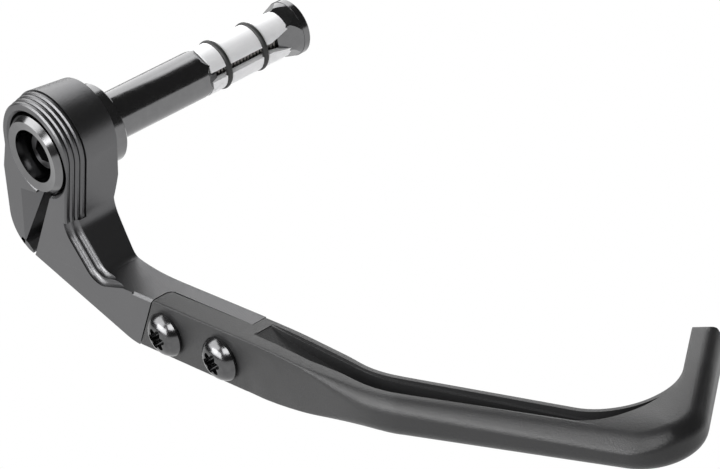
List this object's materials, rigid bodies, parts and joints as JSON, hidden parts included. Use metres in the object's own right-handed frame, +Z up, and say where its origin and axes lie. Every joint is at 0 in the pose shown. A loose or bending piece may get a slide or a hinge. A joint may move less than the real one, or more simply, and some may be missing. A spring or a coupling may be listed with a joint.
{
  "type": "lever guard",
  "caption": "Curved black guard blade on a split clamp bracket, held on the end of a handlebar by an expanding insert.",
  "frame": {"origin": "on the axis of the bar insert, on the flange face that the end of the handlebar meets", "axes": "+Y along the insert into the handlebar, +X forward along the blade, +Z up"},
  "size_m": [0.1879, 0.0798, 0.0556],
  "materials": {
    "black_anodised": "satin",
    "black_nylon": "matte",
    "gloss_black": "gloss",
    "black_steel": "satin",
    "bright_aluminium": "turned",
    "black_rubber": "matte"
  },
  "bodies": {
    "root": {"bracket": "black_anodised", "guard_blade": "black_nylon", "bar_insert": "gloss_black", "centre_bolt": "black_steel", "cone_nut": "gloss_black", "expander_jaw_1": "bright_aluminium", "expander_jaw_2": "bright_aluminium", "expander_jaw_3": "bright_aluminium", "rubber_ring_1": "black_rubber", "rubber_ring_2": "black_rubber", "pinch_screw": "black_steel", "blade_screw_1": "black_steel", "blade_screw_2": "black_steel"}
  },
  "joints": []
}
